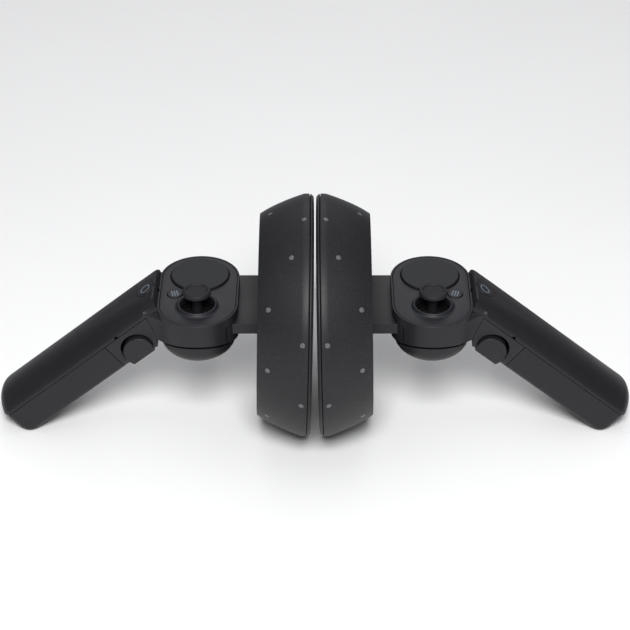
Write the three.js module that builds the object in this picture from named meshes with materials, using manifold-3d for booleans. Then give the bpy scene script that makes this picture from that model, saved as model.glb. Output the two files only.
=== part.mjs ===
// A mirrored pair of handheld motion controllers, standing on a table with their
// tracking rings face to face. Millimetres, +Z up, +X along the pair, +Y away from the
// thumbstick side. The left hand's controller is at -X, the right hand's is its mirror.
import * as THREE from "three";
import { mergeVertices } from "three/addons/utils/BufferGeometryUtils.js";
import Module from "manifold-3d";

const wasm = await Module();
wasm.setup();

// ---- Clearances ----
const gap = 0.3; // between pieces that touch or are screwed together
const slideGap = 0.4; // round a piece that slides or turns

// ---- Tracking ring: a tapered band, its wide rim towards the other controller ----
const ringRadius = 58.6; // wide rim
const ringSmallRadius = 48.6; // narrow rim
const ringWidth = 25.6; // along its axis
const ringBand = 5.2; // radial thickness of the hollow band
const ringWall = 1.5;
const ringFacets = 36;
const ringLean = 1.3; // degrees, top towards the other controller
const ringTurn = 0.3; // degrees, near side towards the other controller
const ringPairGap = 0.6; // least gap between the two rings
const trimWidth = 1.7;
const trimDepth = 3.1; // radial
const ledCount = 16;
const ledSpread = 16; // axial distance between the two rows of lamps

// ---- Head: a stadium-shaped body, long in Y ----
const headX = -55.75; // middle of the head
const faceZ = 14.1; // face above the ring's axis
const plateWidth = 36.1;
const plateLength = 59.9;
const plateThick = 2;
const headWall = 0.9;
const deckThick = 1.2;
const edgeLow = -3.2; // lower edge of the head's wall at its middle
const edgeHigh = 2.4; // and at its two ends
const headFacets = 8; // to each half circle

// ---- Controls on the face ----
const padRadius = 14;
const padY = 13.4;
const padProud = 1;
const padTravel = 0.4;
const stickY = -13.5;
const stickHole = 8.15; // radius
const lipWidth = 2;
const lipHeight = 1.5;
const capRadius = 6.75;
const capTop = 9.1; // above the face
const capThick = 2.4;
const shaftRadius = 2.3;
const pivotDepth = 7; // stick pivot below the face
const menuX = -11.3; // from the head's middle
const menuY = -3.1;
const menuRadius = 3.5;
const menuProud = 0.4;

// ---- Trigger: a bowl under the head, hinged at its back ----
const triggerFloor = 11.2; // below the ring's axis
const triggerRound = 9; // height of its rounded foot
const triggerInset = 12; // how far the rounded foot runs in
const triggerWall = 1.6;
const triggerLap = 1.5; // how far its rim stands up inside the head
const pinX = -14.75; // from the head's middle
const pinZ = 1; // above the ring's axis
const pinRadius = 1.25;
const pinHalf = 12.3;
const earY = 7.5; // middle of each hinge ear
const earThick = 3;
const lugDrop = 2.6; // how far the housing's lugs reach below the pin

// ---- Handle, in its own frame: x towards the head, z square to the parting face ----
const handleTilt = 39.5; // degrees
const handleWidth = 33;
const handleDepth = 15.2; // below the parting face
const handleCrown = 7.7; // above the parting face
const handleWall = 1.6;
const handleEndX = -152.5; // end of the parting face
const handleEndZ = -50.4;
const handleRun = 114; // from that end to inside the head
const shoulder = 2.6; // height of the edge along the crown
const bottomRound = 3;
const tailRound = 5;
const tailStep = 2.5; // how far the cover's end stands back from the upper shell's
const seamX = 67.1; // between battery cover and lower shell
const crestX = -79.6; // the crown rolls over here, down to the head's rim
const crestZ = 15.6;
const rimX = -75.1;
const rimZ = 13.9;
const webTop = 12.6; // of the webs in the corners between handle and head

// ---- Buttons on the handle ----
const homeX = -81.3;
const homeZ = 14.8;
const homeTilt = 31;
const homeRadius = 4.75;
const homeProud = 0.3;
const gripX = 77.4;
const gripZ = -10.6;
const gripRadius = 8;
const gripProud = 1.8;
const gripDrop = 0.3; // how far it stands below the handle's bottom edge
const gripPocket = 0.7; // the pocket is this much wider, and shifted up by as much

// ---- Neck: a flat arm from the head into the ring, then down to the ring's foot ----
const neckWidth = 42.6;
const neckTop = 9.1;
const neckThick = 5.5;
const neckBendX = -26; // where the arm starts to turn down
const strutX = -12; // middle of the part that hangs down
const strutWidth = 26;
const collarX = -41.6; // seam on the head's side
const footX = -17.5; // screw through the strut's foot
const footReach = 3; // how far the foot runs on past it
const footTop = -44.2;

// ---- Inside ----
const cellRadius = 7.25; // AA cells
const cellLength = 50.5;
const cellStart = 8;
const boardThick = 1.2;
const pairingX = 64;

const rad = THREE.MathUtils.degToRad;

// ---- Solids ----
function toSolid(geometry, matrix = new THREE.Matrix4()) {
  const plain = geometry.index ? geometry.toNonIndexed() : geometry.clone();
  plain.deleteAttribute("normal");
  plain.deleteAttribute("uv");
  plain.applyMatrix4(matrix);
  const merged = mergeVertices(plain, 1e-4);
  const corners = merged.index.array;
  const kept = [];
  for (let i = 0; i < corners.length; i += 3) {
    const [a, b, c] = [corners[i], corners[i + 1], corners[i + 2]];
    if (a !== b && b !== c && c !== a) kept.push(a, b, c);
  }
  const build = (list) =>
    new wasm.Manifold(
      new wasm.Mesh({
        numProp: 3,
        vertProperties: merged.attributes.position.array,
        triVerts: new Uint32Array(list),
      }),
    );
  const made = build(kept);
  return made.volume() < 0 ? build(kept.reverse()) : made;
}

const move = (x, y, z) => new THREE.Matrix4().makeTranslation(x, y, z);

function block(x0, x1, y0, y1, z0, z1) {
  const box = new THREE.BoxGeometry(x1 - x0, y1 - y0, z1 - z0);
  return toSolid(box, move((x0 + x1) / 2, (y0 + y1) / 2, (z0 + z1) / 2));
}

// An outline in X and Y, raised from z0 to z1.
function prism(shape, z0, z1, curveSegments = headFacets) {
  const options = { depth: z1 - z0, bevelEnabled: false, curveSegments };
  return toSolid(new THREE.ExtrudeGeometry(shape, options), move(0, 0, z0));
}

// A cylinder along an axis, centred on the other two coordinates.
function rod(axis, radius, from, to, u, v, facets = 20) {
  const geometry = new THREE.CylinderGeometry(radius, radius, to - from, facets);
  const middle = (from + to) / 2;
  if (axis === "z") return toSolid(geometry.rotateX(Math.PI / 2), move(u, v, middle));
  if (axis === "x") return toSolid(geometry.rotateZ(Math.PI / 2), move(middle, u, v));
  return toSolid(geometry, move(u, middle, v));
}

// A turned solid about Z: the profile is [radius, height] pairs.
function turned(profile, facets = 24) {
  const points = profile.map(([r, h]) => new THREE.Vector2(r, h));
  return toSolid(new THREE.LatheGeometry(points, facets).rotateX(Math.PI / 2));
}

// An outline in X and Z, carried along Y from y0 to y1.
function slab(shape, y0, y1, curveSegments = 8) {
  const options = { depth: y1 - y0, bevelEnabled: false, curveSegments };
  const geometry = new THREE.ExtrudeGeometry(shape, options).rotateX(Math.PI / 2);
  return toSolid(geometry, move(0, y1, 0));
}

// An outline in Y and Z, carried along X from x0 to x1.
function rail(shape, x0, x1, curveSegments = 8) {
  const options = { depth: x1 - x0, bevelEnabled: false, curveSegments };
  const geometry = new THREE.ExtrudeGeometry(shape, options);
  const turn = new THREE.Matrix4().set(0, 0, 1, x0, 1, 0, 0, 0, 0, 1, 0, 0, 0, 0, 0, 1);
  return toSolid(geometry, turn);
}

const placed = (solid, matrix) => solid.transform(matrix.elements);

const handleFrame = new THREE.Matrix4()
  .makeTranslation(handleEndX, 0, handleEndZ)
  .multiply(new THREE.Matrix4().makeRotationY(-rad(handleTilt)));

// The rings come closest at the rim's point that leans and turns inwards most.
const ringReach = ringRadius * Math.hypot(Math.tan(rad(ringLean)), Math.tan(rad(ringTurn)));
const ringX = -(ringPairGap / 2 + ringReach);
const ringFrame = new THREE.Matrix4()
  .makeTranslation(ringX, 0, 0)
  .multiply(
    new THREE.Matrix4().makeRotationFromEuler(
      new THREE.Euler(0, rad(ringLean), rad(ringTurn)),
    ),
  );

// ---- Ring ----
// Outer radius of the band, from the narrow rim (0) to the wide rim (ringWidth).
const crestStart = ringWidth - trimWidth - 2.9;
const ringCurve = new THREE.QuadraticBezierCurve(
  new THREE.Vector2(0, ringSmallRadius),
  new THREE.Vector2(crestStart * 0.35, ringSmallRadius + (ringRadius - ringSmallRadius) * 0.52),
  new THREE.Vector2(crestStart, ringRadius - 0.1),
);
const shellEnd = ringWidth - trimWidth - gap;
function bandLine(inset, steps, from = 0, to = shellEnd) {
  const crest = [new THREE.Vector2(shellEnd, ringRadius)];
  return [...ringCurve.getPoints(steps), ...crest]
    .filter((p) => p.x >= from && p.x <= to)
    .map((p) => [p.x, p.y - inset]);
}

// Profiles are [distance from the narrow rim, radius]; the ring's own frame has its
// axis along X with the wide rim at x = 0.
function ringSolid(profile) {
  const closed = [...profile, profile[0]].map(([along, r]) => [r, along - ringWidth]);
  const points = closed.map(([r, h]) => new THREE.Vector2(r, h));
  return toSolid(new THREE.LatheGeometry(points, ringFacets).rotateZ(-Math.PI / 2));
}

const innerStart = [0, ringSmallRadius - ringBand];
const innerEnd = [ringWidth, ringRadius - ringBand];

function ringOuterShell() {
  const outside = bandLine(0, 3);
  const inside = bandLine(ringWall, 2, ringWall).reverse();
  const taper = (ringWall * (ringRadius - ringSmallRadius)) / ringWidth;
  const flange = innerStart[1] + ringWall + taper + gap;
  return ringSolid([
    [0, flange],
    ...outside,
    ...inside,
    [ringWall, ringSmallRadius - 0.4],
    [ringWall, flange],
  ]);
}

function ringInnerShell() {
  const flange = ringRadius - trimDepth - gap;
  return ringSolid([
    innerStart,
    [0, innerStart[1] + ringWall],
    [ringWidth - ringWall, innerEnd[1] + ringWall - 0.3],
    [ringWidth - ringWall, flange],
    [ringWidth, flange],
    innerEnd,
  ]);
}

function ringTrim() {
  const outside = ringRadius - 0.3;
  const inside = ringRadius - trimDepth;
  const start = ringWidth - trimWidth;
  return ringSolid([
    [start, inside],
    [start, outside],
    [start + 0.9, outside - 0.2],
    [ringWidth, outside - 1.2],
    [ringWidth, inside],
  ]);
}

// Where the lamps sit: two rows round the band, none where the neck meets the ring.
function lampPlaces() {
  const row = (index) => (index % 2 ? ledSpread : 0) + (ringWidth - trimWidth - ledSpread) / 2;
  return Array.from({ length: ledCount }, (_, index) => ({
    angle: (index * 2 * Math.PI) / ledCount,
    along: row(index),
  }));
}

function radiusAt(along) {
  const points = [...ringCurve.getPoints(20), new THREE.Vector2(shellEnd, ringRadius)];
  const next = points.findIndex((p) => p.x >= along);
  const [a, b] = [points[Math.max(next - 1, 0)], points[next]];
  return a.y + ((b.y - a.y) * (along - a.x)) / Math.max(b.x - a.x, 1e-6);
}

const stripOut = ringWall + 1.4; // strip surface below the outer shell's surface
const stripThick = 0.5;
function ledStrip() {
  const line = (inset) => [
    [ringWall + 2.5, radiusAt(ringWall + 2.5) - inset],
    [shellEnd - 2, radiusAt(shellEnd - 2) - inset],
  ];
  let strip = ringSolid([...line(stripOut), ...line(stripOut + stripThick).reverse()]);
  for (const { angle, along } of lampPlaces()) {
    const r = radiusAt(along) - stripOut;
    const lamp = toSolid(new THREE.BoxGeometry(2, 1.6, 1), move(0, 0, r));
    const turn = new THREE.Matrix4().makeRotationX(angle + Math.PI / ledCount);
    strip = strip.add(placed(placed(lamp, turn), move(along - ringWidth, 0, 0)));
  }
  return strip;
}

// ---- Head ----
const innerWidth = plateWidth + 2 * gap;
const innerLength = plateLength + 2 * gap;
const outerWidth = innerWidth + 2 * headWall;
const outerLength = innerLength + 2 * headWall;

function stadium(width, length) {
  const r = width / 2;
  const straight = length / 2 - r;
  const shape = new THREE.Shape();
  shape.moveTo(headX + r, -straight);
  shape.lineTo(headX + r, straight);
  shape.absarc(headX, straight, r, 0, Math.PI, false);
  shape.lineTo(headX - r, -straight);
  shape.absarc(headX, -straight, r, Math.PI, 2 * Math.PI, false);
  return shape;
}

// Everything under the head's arched lower edge, or under that edge moved by a lift.
function underEdge(lift) {
  const half = outerLength / 2 + 2;
  const steps = 12;
  const shape = new THREE.Shape();
  shape.moveTo(-half, -60);
  shape.lineTo(half, -60);
  for (let i = 0; i <= steps; i += 1) {
    const y = half - (2 * half * i) / steps;
    const rise = (edgeHigh - edgeLow) * (y / (outerLength / 2)) ** 2;
    shape.lineTo(y, edgeLow + rise + lift);
  }
  return rail(shape, headX - outerWidth, headX + outerWidth);
}

// ---- Handle body, shrunk by an inset for its hollow ----
function handleSection(inset) {
  const half = handleWidth / 2 - inset;
  const low = -handleDepth + inset;
  const r = Math.max(bottomRound - inset, 1);
  const top = handleCrown - inset;
  const edge = shoulder - inset * 0.6;
  const shape = new THREE.Shape();
  shape.moveTo(-half + r, low);
  shape.lineTo(half - r, low);
  shape.absarc(half - r, low + r, r, -Math.PI / 2, 0, false);
  shape.lineTo(half, Math.max(edge - 1.4, 0.2));
  shape.lineTo(half - 1.2, edge);
  shape.quadraticCurveTo(half * 0.55, top, 0, top);
  shape.quadraticCurveTo(-half * 0.55, top, -half + 1.2, edge);
  shape.lineTo(-half, Math.max(edge - 1.4, 0.2));
  shape.lineTo(-half, low + r);
  shape.absarc(-half + r, low + r, r, Math.PI, 1.5 * Math.PI, false);
  return shape;
}

function handleSide(inset) {
  const low = -handleDepth + inset;
  const top = handleCrown + 1;
  const r = tailRound - inset;
  const tail = tailStep + inset;
  const shape = new THREE.Shape();
  shape.moveTo(handleRun, low - 1);
  shape.lineTo(handleRun, top);
  shape.lineTo(inset + 6, top);
  shape.quadraticCurveTo(inset + 1, handleCrown - inset, inset, shoulder - inset * 0.6);
  shape.lineTo(inset, 0);
  shape.lineTo(tail, 0);
  shape.lineTo(tail, low + r);
  shape.absarc(tail + r, low + r, r, Math.PI, 1.5 * Math.PI, false);
  shape.lineTo(tail + r, low - 1);
  return shape;
}

function handlePlan(inset) {
  const half = handleWidth / 2 - inset;
  const r = tailRound;
  const shape = new THREE.Shape();
  shape.moveTo(handleRun, -half);
  shape.lineTo(handleRun, half);
  shape.lineTo(inset + r, half);
  shape.absarc(inset + r, half - r, r, Math.PI / 2, Math.PI, false);
  shape.lineTo(inset, -half + r);
  shape.absarc(inset + r, -half + r, r, Math.PI, 1.5 * Math.PI, false);
  return shape;
}

const handleBody = (inset) =>
  rail(handleSection(inset), 0, handleRun, 4)
    .intersect(slab(handleSide(inset), -handleWidth, handleWidth, 5))
    .intersect(prism(handlePlan(inset), -handleDepth - 2, handleCrown + 2, 4));

// What lies over the crown's levelled end: above the home button's flat and the head.
function overCrown(inset) {
  const reach = 60;
  const flat = Math.tan(rad(homeTilt));
  const line = homeZ - inset / Math.cos(rad(homeTilt));
  const flatEnd = 0.6; // the home button's flat runs on this far past its middle
  const shape = new THREE.Shape();
  shape.moveTo(homeX + flatEnd, line + flatEnd * flat);
  shape.quadraticCurveTo(crestX, crestZ - inset, rimX, rimZ - inset);
  shape.lineTo(reach, rimZ - inset);
  shape.lineTo(reach, reach);
  shape.lineTo(homeX - reach, reach);
  shape.lineTo(homeX - reach, line - reach * flat);
  return slab(shape, -handleWidth, handleWidth, 4);
}

// The front end of the lower shell follows this slanting seam behind the head.
function beyondSeam(clearance) {
  const topX = -79.2 - clearance;
  const lowX = -74.6 - clearance;
  const shape = new THREE.Shape();
  shape.moveTo(topX - (lowX - topX), 19);
  shape.lineTo(topX, 8.6);
  shape.lineTo(lowX, -1.7);
  shape.lineTo(lowX, -30);
  shape.lineTo(0, -30);
  shape.lineTo(0, 60);
  shape.lineTo(topX - (lowX - topX), 60);
  return slab(shape, -handleWidth, handleWidth);
}

// The web that rounds the corner between the handle's side and the head.
function cornerWeb(side) {
  const half = handleWidth / 2;
  const shape = new THREE.Shape();
  shape.moveTo(headX - 26, side * (half - 1));
  shape.lineTo(headX - 26, side * half);
  shape.quadraticCurveTo(headX - 21.2, side * half, headX - 15, side * (half + 7.85));
  shape.lineTo(headX - 12, side * (half + 7.85));
  shape.lineTo(headX - 12, side * (half - 1));
  return prism(shape, -6, webTop, 6);
}

function upperShell() {
  const covers = placed(block(-5, handleRun + 5, -30, 30, -30, gap / 2), handleFrame)
    .subtract(beyondSeam(0));
  const hollow = placed(handleBody(handleWall), handleFrame).subtract(overCrown(handleWall));
  const head = prism(stadium(outerWidth, outerLength), -20, faceZ);
  const webs = cornerWeb(-1).add(cornerWeb(1)).intersect(beyondSeam(0));
  const inside = prism(stadium(innerWidth, innerLength), -30, faceZ + 1);
  const deckTop = faceZ - plateThick - gap;
  const deckLow = deckTop - deckThick;
  const deck = prism(stadium(innerWidth + 0.4, innerLength + 0.4), deckLow, deckTop);
  let shell = placed(handleBody(0), handleFrame)
    .subtract(covers)
    .subtract(overCrown(0))
    .add(head)
    .add(webs)
    .subtract(hollow)
    .subtract(inside)
    .subtract(underEdge(0))
    .add(deck);
  for (const side of [-1, 1]) {
    const y0 = Math.min(side * (earY + earThick / 2 + gap), side * pinHalf);
    const y1 = Math.max(side * (earY + earThick / 2 + gap), side * pinHalf);
    shell = shell.add(block(headX - 18.3, headX + pinX + 2.8, y0, y1, pinZ - lugDrop, deckLow + 0.2));
  }
  const tailGate = block(headX - 20, headX - 17, -pinHalf, pinHalf, -20, pinZ - lugDrop);
  shell = shell
    .subtract(tailGate)
    .subtract(rod("y", pinRadius + gap, -20, 20, headX + pinX, pinZ, 16))
    .add(rod("z", 2.4, neckTop + gap, deckLow + 0.2, tongueScrewX, 0, 12))
    .subtract(rod("z", 0.9 + gap, 0, deckTop - 0.4, tongueScrewX, 0, 12))
    .subtract(rod("z", padRadius - 1.7, 0, faceZ, headX, padY, 20))
    .subtract(rod("z", stickHole + 0.75, 0, faceZ, headX, stickY, 16))
    .subtract(rod("z", menuRadius + slideGap, 0, faceZ, headX + menuX, menuY, 12))
    .subtract(placed(rod("z", homeRadius + gap, -6, 6, 0, 0, 16), homeFrame))
    .subtract(neckRegion(gap));
  return shell;
}

const homeFrame = new THREE.Matrix4()
  .makeTranslation(homeX, 0, homeZ)
  .multiply(new THREE.Matrix4().makeRotationY(-rad(homeTilt)));

function facePlate() {
  const low = -plateThick;
  const hole = stickHole;
  const lip = turned([
    [hole, low],
    [hole + 4, low],
    [hole + 3.2, 0.05],
    [hole + lipWidth, 0.35],
    [hole + lipWidth - 0.5, lipHeight - 0.2],
    [hole + 0.3, lipHeight],
    [hole, low],
  ], 20);
  return placed(prism(stadium(plateWidth, plateLength), low, 0), move(-headX, 0, 0))
    .subtract(rod("z", hole + 1, low - 1, 2, 0, stickY, 20))
    .add(placed(lip, move(0, stickY, 0)))
    .subtract(rod("z", padRadius + slideGap, low - 1, 2, 0, padY, 28))
    .subtract(rod("z", menuRadius + gap, low - 1, 2, menuX, menuY, 14));
}

function touchpad() {
  const low = padTravel + gap - plateThick - gap;
  return turned([
    [0, -plateThick - gap - deckThick + gap],
    [padRadius - 3, -plateThick - gap - deckThick + gap],
    [padRadius - 3, low],
    [padRadius, low],
    [padRadius, padProud - 0.5],
    [padRadius - 0.5, padProud],
    [0, padProud],
  ], 28);
}

function touchSensor() {
  const top = -plateThick - gap - deckThick;
  return rod("z", padRadius - 2.3, top - 1, top, 0, 0, 16);
}

function menuButton() {
  const low = -plateThick - gap - deckThick + gap;
  return turned([
    [0, low],
    [menuRadius, low],
    [menuRadius, menuProud - 0.3],
    [menuRadius - 0.3, menuProud],
    [0, menuProud],
  ], 14);
}

// ---- Thumbstick: housing, sliding carrier, gimbal ring and stick ----
const moduleHalf = 9.3;
const moduleTop = -plateThick - gap - deckThick - 0.4;
const moduleLow = -13;
const carrierOut = 8.1;
const carrierIn = 6.8;
const gimbalOut = 6.2;
const gimbalIn = 4;
const hubRadius = 3.3;
const trunnion = 0.7;

function stickModule() {
  return block(-moduleHalf, moduleHalf, -moduleHalf, moduleHalf, moduleLow, moduleTop)
    .subtract(rod("z", carrierOut + slideGap, moduleLow + 1.8, 0, 0, 0, 18))
    .subtract(rod("z", 2.4, moduleLow - 1, 0, 0, 0, 12));
}

function stickCarrier() {
  const ring = turned([
    [carrierIn, -1.5],
    [carrierOut, -1.5],
    [carrierOut, 1.5],
    [carrierIn, 1.5],
    [carrierIn, -1.5],
  ], 18);
  return ring.subtract(rod("x", trunnion + gap, -10, 10, 0, 0, 10));
}

function stickGimbal() {
  const ring = turned([
    [gimbalIn, -1.2],
    [gimbalOut, -1.2],
    [gimbalOut, 1.2],
    [gimbalIn, 1.2],
    [gimbalIn, -1.2],
  ], 16);
  const reach = carrierOut - 0.3;
  return ring
    .subtract(rod("y", trunnion + gap, -10, 10, 0, 0, 10))
    .add(rod("x", trunnion, gimbalOut - 0.4, reach, 0, 0, 8))
    .add(rod("x", trunnion, -reach, -gimbalOut + 0.4, 0, 0, 8));
}

function stickCap() {
  const top = capTop + pivotDepth;
  const rim = capRadius;
  const stick = turned([
    [0, -hubRadius],
    [hubRadius * 0.75, -hubRadius * 0.66],
    [hubRadius, 0],
    [shaftRadius, hubRadius * 0.8],
    [shaftRadius, top - capThick - 2.4],
    [shaftRadius + 2.2, top - capThick - 0.7],
    [rim, top - capThick],
    [rim, top - 0.8],
    [rim - 0.6, top],
    [rim - 1.5, top],
    [rim - 2, top - 0.6],
    [0, top - 0.6],
  ], 18);
  return stick.add(rod("y", trunnion, -gimbalOut + 0.3, gimbalOut - 0.3, 0, 0, 8));
}

// ---- Trigger ----
function bowl(width, length, floor) {
  const r = triggerInset - (innerWidth - 2 * slideGap - width) / 2;
  const height = triggerRound;
  const options = {
    depth: 20,
    bevelEnabled: true,
    bevelThickness: height,
    bevelSize: r,
    bevelOffset: -r,
    bevelSegments: 3,
    curveSegments: 5,
  };
  const geometry = new THREE.ExtrudeGeometry(stadium(width, length), options);
  return toSolid(geometry, move(0, 0, -floor + height));
}

function trigger() {
  const width = innerWidth - 2 * slideGap;
  const length = innerLength - 2 * slideGap;
  const outside = bowl(width, length, triggerFloor);
  const thin = 2 * triggerWall;
  const inside = bowl(width - thin, length - thin, triggerFloor - triggerWall);
  let body = outside.subtract(inside).intersect(underEdge(triggerLap));
  for (const side of [-1, 1]) {
    const middle = side * earY;
    const ear = block(
      headX - width / 2 + 1,
      headX + pinX + 3,
      middle - earThick / 2,
      middle + earThick / 2,
      -triggerFloor + 4,
      pinZ + 2.8,
    );
    const rim = block(
      headX - width / 2 - 1,
      headX + pinX + 3,
      side > 0 ? middle + earThick / 2 : -pinHalf - slideGap,
      side > 0 ? pinHalf + slideGap : middle - earThick / 2,
      pinZ - lugDrop - slideGap,
      pinZ + 9,
    );
    body = body.add(ear.intersect(outside)).subtract(rim);
  }
  return body.subtract(rod("y", pinRadius + gap, -20, 20, headX + pinX, pinZ, 16));
}

const triggerPin = () => rod("y", pinRadius, -pinHalf, pinHalf, headX + pinX, pinZ, 12);

// A torsion spring round the pin, one leg up to the deck and one down on the trigger.
function triggerSpring() {
  const turns = 3;
  const coil = pinRadius + gap + 0.5;
  const points = [];
  const steps = turns * 10;
  const wire = 0.35;
  points.push(new THREE.Vector3(headX + pinX + coil, -1.6, pinZ + 6));
  for (let i = 0; i <= steps; i += 1) {
    const angle = (i / steps) * turns * 2 * Math.PI;
    const x = headX + pinX + coil * Math.cos(angle);
    const y = -1.4 + (2.8 * i) / steps;
    points.push(new THREE.Vector3(x, y, pinZ - coil * Math.sin(angle)));
  }
  points.push(new THREE.Vector3(headX + pinX + coil, 1.6, pinZ - 6));
  const path = new THREE.CatmullRomCurve3(points);
  const section = new THREE.Shape();
  section.absarc(0, 0, wire, 0, 2 * Math.PI, false);
  const options = { steps: 30, extrudePath: path, curveSegments: 2, bevelEnabled: false };
  return toSolid(new THREE.ExtrudeGeometry(section, options));
}

// ---- Handle covers ----
function lowerShell() {
  const low = handleBody(0)
    .subtract(handleBody(handleWall))
    .subtract(block(-5, handleRun + 5, -30, 30, -gap / 2, 30))
    .subtract(block(-5, seamX + gap / 2, -30, 30, -30, 30));
  const pocket = rod("y", gripRadius + gripPocket + gap, -30, 0, gripX, gripZ + gripPocket, 20);
  return placed(low.subtract(pocket), handleFrame)
    .subtract(beyondSeam(gap))
    .subtract(prism(stadium(outerWidth + 2 * gap, outerLength), -30, 40));
}

function batteryCover() {
  return handleBody(0)
    .subtract(handleBody(handleWall))
    .subtract(block(-5, handleRun + 5, -30, 30, -gap / 2, 30))
    .subtract(block(seamX - gap / 2, handleRun + 5, -30, 30, -30, 30));
}

function gripButton() {
  const face = -handleWidth / 2 - gripProud;
  const back = -handleWidth / 2 + 4.5;
  const low = -handleDepth - gripDrop;
  return rod("y", gripRadius, face + 0.6, back, gripX, gripZ, 20)
    .add(rod("y", gripRadius - 0.6, face, back, gripX, gripZ, 20))
    .subtract(block(gripX - 12, gripX + 12, -30, 0, low - 12, low));
}

const homeButton = () => turned([
  [0, -2.2],
  [homeRadius, -2.2],
  [homeRadius, homeProud - 0.3],
  [homeRadius - 0.3, homeProud],
  [0, homeProud],
], 16);

// ---- Neck ----
const tongueScrewX = headX + 13.2;

// The part of the head's wall that belongs to the neck.
function neckRegion(clearance) {
  return block(
    collarX - clearance,
    0,
    -outerLength / 2,
    outerLength / 2,
    -30,
    neckTop + clearance,
  );
}

function neckArm() {
  const low = neckTop - neckThick;
  const half = neckThick / 2;
  const bend = strutX - neckBendX;
  const foot = -ringRadius;
  const side = new THREE.Shape();
  side.moveTo(headX + outerWidth / 2 - 4, neckTop);
  side.lineTo(neckBendX, neckTop);
  side.quadraticCurveTo(strutX + half, neckTop, strutX + half, neckTop - bend - half);
  side.lineTo(strutX + half, foot);
  side.lineTo(strutX - half, foot);
  side.lineTo(strutX - half, low - bend + half);
  side.quadraticCurveTo(strutX - half, low, neckBendX, low);
  side.lineTo(headX + outerWidth / 2 - 4, low);
  const strap = slab(side, -neckWidth / 2, neckWidth / 2, 6);
  // Seen from the ring's wide side, the arm narrows to the foot.
  const front = new THREE.Shape();
  front.moveTo(-neckWidth / 2, neckTop + 1);
  front.lineTo(-neckWidth / 2, low - 2);
  front.quadraticCurveTo(-strutWidth / 2, -bend, -strutWidth / 2, -2 * bend);
  front.lineTo(-strutWidth / 2, foot);
  front.lineTo(strutWidth / 2, foot);
  front.lineTo(strutWidth / 2, -2 * bend);
  front.quadraticCurveTo(strutWidth / 2, -bend, neckWidth / 2, low - 2);
  front.lineTo(neckWidth / 2, neckTop + 1);
  const flange = block(
    footX - footReach,
    strutX + half,
    -strutWidth / 2,
    strutWidth / 2,
    foot,
    footTop,
  );
  const tongue = block(tongueScrewX - 2.6, headX + outerWidth / 2, -9, 9, low + 1, neckTop);
  const wall = prism(stadium(outerWidth, outerLength), -20, neckTop)
    .subtract(prism(stadium(innerWidth, innerLength), -30, faceZ))
    .subtract(underEdge(0))
    .intersect(neckRegion(0));
  const inside = prism(stadium(innerWidth, innerLength), -30, faceZ);
  const ring = placed(ringSolid([
    [-2, innerStart[1] - gap - 0.8],
    [ringWidth, innerEnd[1] - gap],
    [ringWidth, ringRadius + 20],
    [-2, ringRadius + 20],
  ]), ringFrame);
  return strap
    .intersect(rail(front, -60, 0, 6))
    .subtract(inside)
    .add(wall)
    .add(tongue)
    .add(flange)
    .subtract(ring)
    .subtract(rod("z", 0.9 + gap, 0, faceZ, tongueScrewX, 0, 12))
    .subtract(rod("z", 1 + gap, foot - 5, footTop + 1, footX, 0, 12));
}

const screw = (headRadius, headHeight, radius, length) => turned([
  [0, -headHeight],
  [headRadius, -headHeight],
  [headRadius, 0],
  [radius, 0],
  [radius, length],
  [0, length],
], 8);

// ---- Inside the handle ----
function battery() {
  return placed(turned([
    [0, 0],
    [cellRadius, 0],
    [cellRadius, cellLength - 1.2],
    [2.7, cellLength - 1.2],
    [2.7, cellLength],
    [0, cellLength],
  ], 14), new THREE.Matrix4().makeRotationY(Math.PI / 2));
}

const cellY = cellRadius + 0.15;
const cellZ = -handleDepth + handleWall + gap + cellRadius;
const trayLow = cellZ + cellRadius + gap;
const trayEnd = cellStart + cellLength + 1;

function batteryTray() {
  const plate = block(cellStart - 1, seamX, -11.3, 11.3, trayLow, trayLow + 1);
  const wall = block(trayEnd, trayEnd + 1.4, -13, 13, cellZ - 5, trayLow + 0.5);
  const rib = block(cellStart + 4, trayEnd, -0.5, 0.5, trayLow - 2.4, trayLow + 0.5);
  return plate.add(wall).add(rib).subtract(rod("z", 1.8 + gap, -10, 10, pairingX, 8, 12));
}

function batteryContact() {
  const plate = block(cellStart - 2.2, cellStart - 1.7, -13, 13, cellZ - 5, cellZ + 4);
  const coils = [-cellY, cellY].map((y) => rod("x", 2, cellStart - 2, cellStart - gap, y, cellZ, 8));
  return plate.add(coils[0]).add(coils[1]);
}

function mainBoard() {
  return block(seamX + 1, 91, -10.5, 10.5, trayLow - 0.3, trayLow - 0.3 + boardThick)
    .add(block(72, 78, -4, 4, trayLow - 1.6, trayLow))
    .add(block(82, 87, 2, 8, trayLow - 1.4, trayLow));
}

// ---- Materials ----
const finish = (color, roughness, metalness = 0) =>
  new THREE.MeshStandardMaterial({ color, roughness, metalness });
const shellFinish = finish(0x2b2a2e, 0.45);
const faceFinish = finish(0x2a2d34, 0.4);
const ringFinish = finish(0x26262b, 0.5);
const rubberFinish = finish(0x1c1c20, 0.6);
const steelFinish = finish(0xb8bac0, 0.3, 1);
const boardFinish = finish(0x1f5a3a, 0.5);
const cellFinish = finish(0x3b6ea8, 0.4, 0.3);
const plasticFinish = finish(0x17171a, 0.6);

function piece(name, solid, material, x = 0, y = 0, z = 0) {
  const { vertProperties, triVerts } = solid.getMesh();
  const geometry = new THREE.BufferGeometry();
  geometry.setAttribute("position", new THREE.BufferAttribute(vertProperties, 3));
  geometry.setIndex(new THREE.BufferAttribute(triVerts, 1));
  geometry.computeVertexNormals();
  const mesh = new THREE.Mesh(geometry, material);
  mesh.name = name;
  mesh.position.set(x, y, z);
  return mesh;
}

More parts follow.
